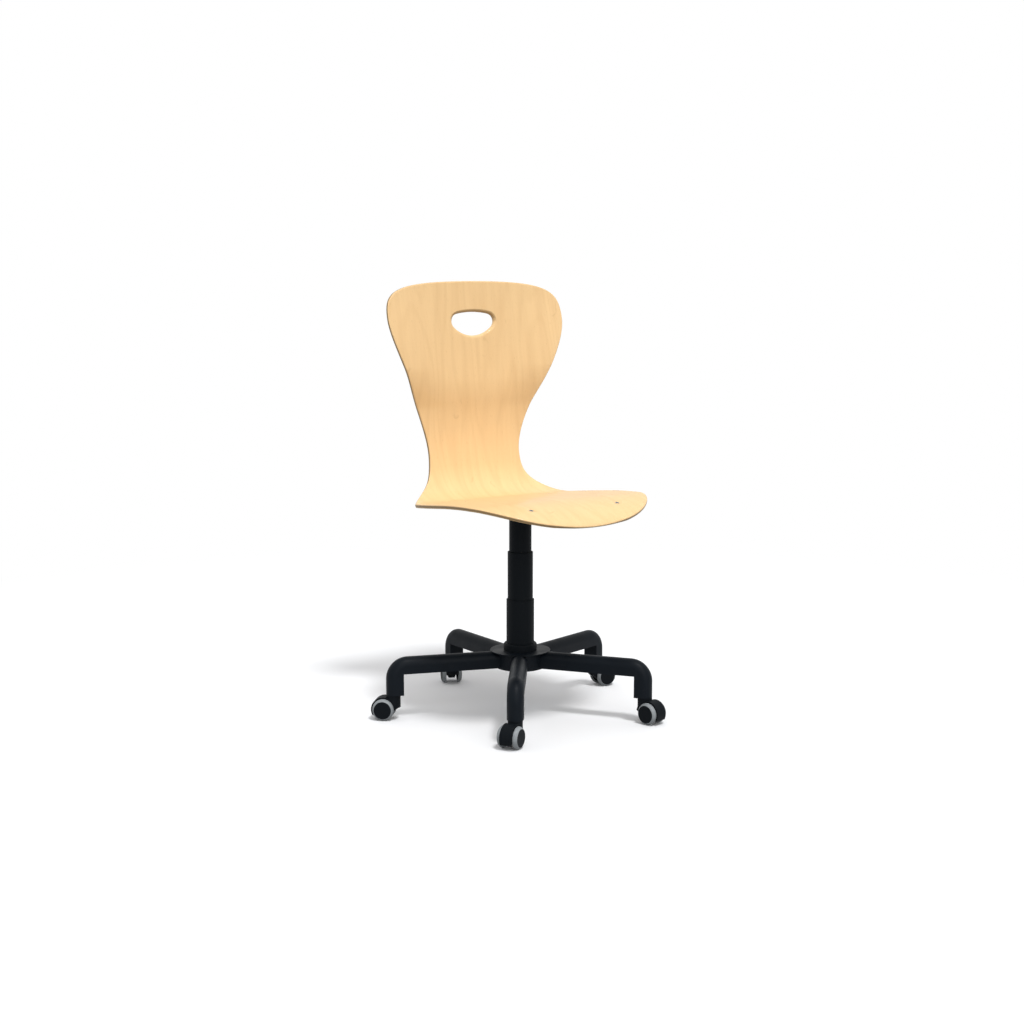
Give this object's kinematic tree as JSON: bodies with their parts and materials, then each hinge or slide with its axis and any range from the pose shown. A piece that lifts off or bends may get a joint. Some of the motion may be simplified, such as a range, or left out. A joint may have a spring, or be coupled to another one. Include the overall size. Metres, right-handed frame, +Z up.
{
  "type": "swivel chair",
  "caption": "Swivel chair with a one-piece moulded plywood shell, hand hold, telescopic column and star base on twin-wheel castors.",
  "frame": {"origin": "on the floor under the column's axis, with the column fully raised", "axes": "+Z up, the sitter faces -Y, +X is the sitter's left"},
  "size_m": [0.674, 0.6503, 0.9961],
  "materials": {
    "plywood": "clear satin lacquer on beech veneer",
    "black_steel": "black powder coat",
    "black_plastic": "fine moulded texture",
    "grey_tread": "soft smooth tread",
    "zinc_steel": "zinc plated",
    "chromed_steel": "ground and chromed",
    "natural_plastic": "moulded acetal"
  },
  "bodies": {
    "base": {"hub_ring": "black_steel", "hub_disc": "black_steel", "arm_1": "black_steel", "arm_2": "black_steel", "arm_3": "black_steel", "arm_4": "black_steel", "arm_5": "black_steel", "leg_plugs": "black_plastic", "castor_stems": "zinc_steel", "column_tube": "black_steel", "guide_bush": "natural_plastic", "thrust_bearing": "zinc_steel", "cover_collar": "black_plastic", "cover_lower": "black_plastic"},
    "rod": {"piston_rod": "chromed_steel", "rod_clip": "zinc_steel"},
    "seat": {"gas_cylinder": "black_steel", "cover_upper": "black_plastic", "taper_socket": "black_steel", "mech_housing": "black_steel", "seat_bridge": "black_steel", "seat_bars": "black_steel", "seat_screws": "zinc_steel", "seat_nuts": "zinc_steel", "seat_shell": "plywood", "lever_pivot": "zinc_steel"},
    "middle_cover": {"cover_middle": "black_plastic"},
    "lever": {"height_lever": "black_steel", "lever_grip": "black_plastic"},
    "valve": {"valve_button": "natural_plastic"},
    "castor_1": {"castor_1_housing": "black_plastic", "castor_1_axle": "zinc_steel"},
    "castor_1_left": {"castor_1_wheel_left": "black_plastic", "castor_1_tyre_left": "grey_tread"},
    "castor_1_right": {"castor_1_wheel_right": "black_plastic", "castor_1_tyre_right": "grey_tread"},
    "castor_2": {"castor_2_housing": "black_plastic", "castor_2_axle": "zinc_steel"},
    "castor_2_left": {"castor_2_wheel_left": "black_plastic", "castor_2_tyre_left": "grey_tread"},
    "castor_2_right": {"castor_2_wheel_right": "black_plastic", "castor_2_tyre_right": "grey_tread"},
    "castor_3": {"castor_3_housing": "black_plastic", "castor_3_axle": "zinc_steel"},
    "castor_3_left": {"castor_3_wheel_left": "black_plastic", "castor_3_tyre_left": "grey_tread"},
    "castor_3_right": {"castor_3_wheel_right": "black_plastic", "castor_3_tyre_right": "grey_tread"},
    "castor_4": {"castor_4_housing": "black_plastic", "castor_4_axle": "zinc_steel"},
    "castor_4_left": {"castor_4_wheel_left": "black_plastic", "castor_4_tyre_left": "grey_tread"},
    "castor_4_right": {"castor_4_wheel_right": "black_plastic", "castor_4_tyre_right": "grey_tread"},
    "castor_5": {"castor_5_housing": "black_plastic", "castor_5_axle": "zinc_steel"},
    "castor_5_left": {"castor_5_wheel_left": "black_plastic", "castor_5_tyre_left": "grey_tread"},
    "castor_5_right": {"castor_5_wheel_right": "black_plastic", "castor_5_tyre_right": "grey_tread"}
  },
  "joints": [
    {"name": "seat_swivel", "type": "hinge", "parent": "base", "child": "rod", "pos_m": [0, 0, 0.11], "axis": [0, 0, 1], "continuous": true},
    {"name": "seat_height", "type": "slide", "parent": "rod", "child": "seat", "axis": [0, 0, 1], "range_m": [-0.115, 0]},
    {"name": "cover_slide", "type": "slide", "parent": "base", "child": "middle_cover", "axis": [0, 0, 1], "range_m": [-0.0575, 0]},
    {"name": "lever_lift", "type": "hinge", "parent": "seat", "child": "lever", "pos_m": [0.02, 0, 0.474], "axis": [0, -1, 0], "range_deg": [0, 8]},
    {"name": "valve_press", "type": "slide", "parent": "seat", "child": "valve", "axis": [0, 0, -1], "range_m": [0, 0.0034]},
    {"name": "castor_1_swivel", "type": "hinge", "parent": "base", "child": "castor_1", "pos_m": [0, 0.3024, 0.045], "axis": [0, 0, 1], "continuous": true},
    {"name": "castor_1_left_roll", "type": "hinge", "parent": "castor_1", "child": "castor_1_left", "pos_m": [0.00849, 0.32193, 0.025], "axis": [-0.9171, 0.3987, 0], "continuous": true},
    {"name": "castor_1_right_roll", "type": "hinge", "parent": "castor_1", "child": "castor_1_right", "pos_m": [0.00849, 0.32193, 0.025], "axis": [-0.9171, 0.3987, 0], "continuous": true},
    {"name": "castor_2_swivel", "type": "hinge", "parent": "base", "child": "castor_2", "pos_m": [-0.2876, 0.09345, 0.045], "axis": [0, 0, 1], "continuous": true},
    {"name": "castor_2_left_roll", "type": "hinge", "parent": "castor_2", "child": "castor_2_left", "pos_m": [-0.30355, 0.10756, 0.025], "axis": [-0.6626, -0.749, 0], "continuous": true},
    {"name": "castor_2_right_roll", "type": "hinge", "parent": "castor_2", "child": "castor_2_right", "pos_m": [-0.30355, 0.10756, 0.025], "axis": [-0.6626, -0.749, 0], "continuous": true},
    {"name": "castor_3_swivel", "type": "hinge", "parent": "base", "child": "castor_3", "pos_m": [-0.17775, -0.24465, 0.045], "axis": [0, 0, 1], "continuous": true},
    {"name": "castor_3_left_roll", "type": "hinge", "parent": "castor_3", "child": "castor_3_left", "pos_m": [-0.1961, -0.25546, 0.025], "axis": [0.5075, -0.8616, 0], "continuous": true},
    {"name": "castor_3_right_roll", "type": "hinge", "parent": "castor_3", "child": "castor_3_right", "pos_m": [-0.1961, -0.25546, 0.025], "axis": [0.5075, -0.8616, 0], "continuous": true},
    {"name": "castor_4_swivel", "type": "hinge", "parent": "base", "child": "castor_4", "pos_m": [0.17775, -0.24465, 0.045], "axis": [0, 0, 1], "continuous": true},
    {"name": "castor_4_left_roll", "type": "hinge", "parent": "castor_4", "child": "castor_4_left", "pos_m": [0.18236, -0.26544, 0.025], "axis": [0.9763, 0.2164, 0], "continuous": true},
    {"name": "castor_4_right_roll", "type": "hinge", "parent": "castor_4", "child": "castor_4_right", "pos_m": [0.18236, -0.26544, 0.025], "axis": [0.9763, 0.2164, 0], "continuous": true},
    {"name": "castor_5_swivel", "type": "hinge", "parent": "base", "child": "castor_5", "pos_m": [0.2876, 0.09345, 0.045], "axis": [0, 0, 1], "continuous": true},
    {"name": "castor_5_left_roll", "type": "hinge", "parent": "castor_5", "child": "castor_5_left", "pos_m": [0.3088, 0.09141, 0.025], "axis": [0.0958, 0.9954, 0], "continuous": true},
    {"name": "castor_5_right_roll", "type": "hinge", "parent": "castor_5", "child": "castor_5_right", "pos_m": [0.3088, 0.09141, 0.025], "axis": [0.0958, 0.9954, 0], "continuous": true}
  ],
  "couplings": [
    {"joint": "cover_slide", "follows": "seat_height", "ratio": 0.5},
    {"joint": "valve_press", "follows": "lever_lift", "m_per_rad": 0.0235}
  ]
}
